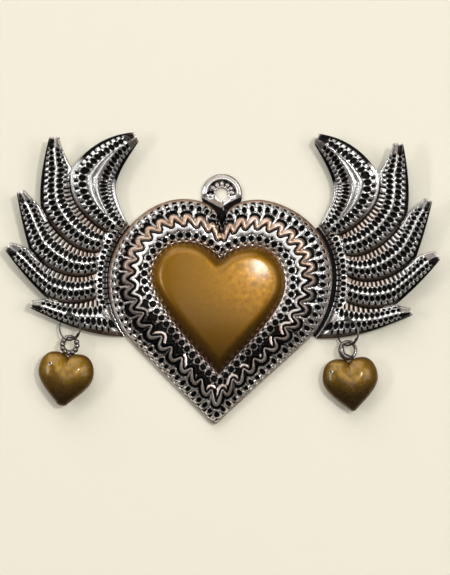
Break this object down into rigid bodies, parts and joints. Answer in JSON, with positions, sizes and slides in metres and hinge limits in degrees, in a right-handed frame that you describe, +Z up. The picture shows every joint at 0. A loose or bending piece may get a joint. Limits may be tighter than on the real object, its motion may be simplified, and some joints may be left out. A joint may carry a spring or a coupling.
{
  "type": "tin winged heart ornament",
  "caption": "Embossed sheet-metal heart with a raised gilt centre, spread feather wings, a hanging tab, and puffed hearts that swing from the wings on jump rings.",
  "frame": {"origin": "centre of the hanging hole in the tab, at half the tab's thickness", "axes": "+X to the viewer's right across the wings, +Z up, +Y toward the wall, so the front faces -Y"},
  "size_m": [0.2188, 0.0135, 0.1475],
  "materials": {
    "tin_frame": "polished on the ridges with black antiquing in the recesses",
    "tin_wing": "polished on the ridges with black antiquing in the recesses",
    "tin_back": "dull grey sheet",
    "gilt_center": "amber lacquer over bright sheet, darker at the edges",
    "gilt_charm": "antiqued gold, bright above and brown below",
    "wire": "tarnished wire",
    "solder": "dull solder"
  },
  "bodies": {
    "ornament": {"back_plate": "tin_back", "heart_frame": "tin_frame", "center_heart": "gilt_center", "hanging_tab": "tin_frame", "wing_left": "tin_wing", "wing_right": "tin_wing", "solder_back_1": "solder", "solder_back_2": "solder", "solder_back_3": "solder", "solder_back_4": "solder", "solder_back_5": "solder", "solder_back_6": "solder", "solder_heart_1": "solder", "solder_heart_2": "solder", "solder_heart_3": "solder", "solder_heart_4": "solder", "solder_heart_5": "solder", "solder_heart_6": "solder"},
    "ring_left": {"jump_ring_left": "wire"},
    "charm_left": {"charm_bail_left": "wire", "charm_front_left": "gilt_charm", "charm_back_left": "gilt_charm"},
    "ring_right": {"jump_ring_right": "wire"},
    "charm_right": {"charm_bail_right": "wire", "charm_front_right": "gilt_charm", "charm_back_right": "gilt_charm"}
  },
  "joints": [
    {"name": "ring_left_swing", "type": "hinge", "parent": "ornament", "child": "ring_left", "pos_m": [-0.0767, -0.00698, -0.061], "axis": [0, 1, 0], "range_deg": [-20, 35]},
    {"name": "charm_left_swing", "type": "hinge", "parent": "ring_left", "child": "charm_left", "pos_m": [-0.0767, -0.00698, -0.0738], "axis": [0.8191, -0.5736, 0], "range_deg": [-45, 45]},
    {"name": "ring_right_swing", "type": "hinge", "parent": "ornament", "child": "ring_right", "pos_m": [0.0636, -0.00529, -0.0636], "axis": [0, 1, 0], "range_deg": [-30, 12]},
    {"name": "charm_right_swing", "type": "hinge", "parent": "ring_right", "child": "charm_right", "pos_m": [0.0636, -0.00529, -0.0764], "axis": [0.766, -0.6428, 0], "range_deg": [-45, 45]}
  ]
}
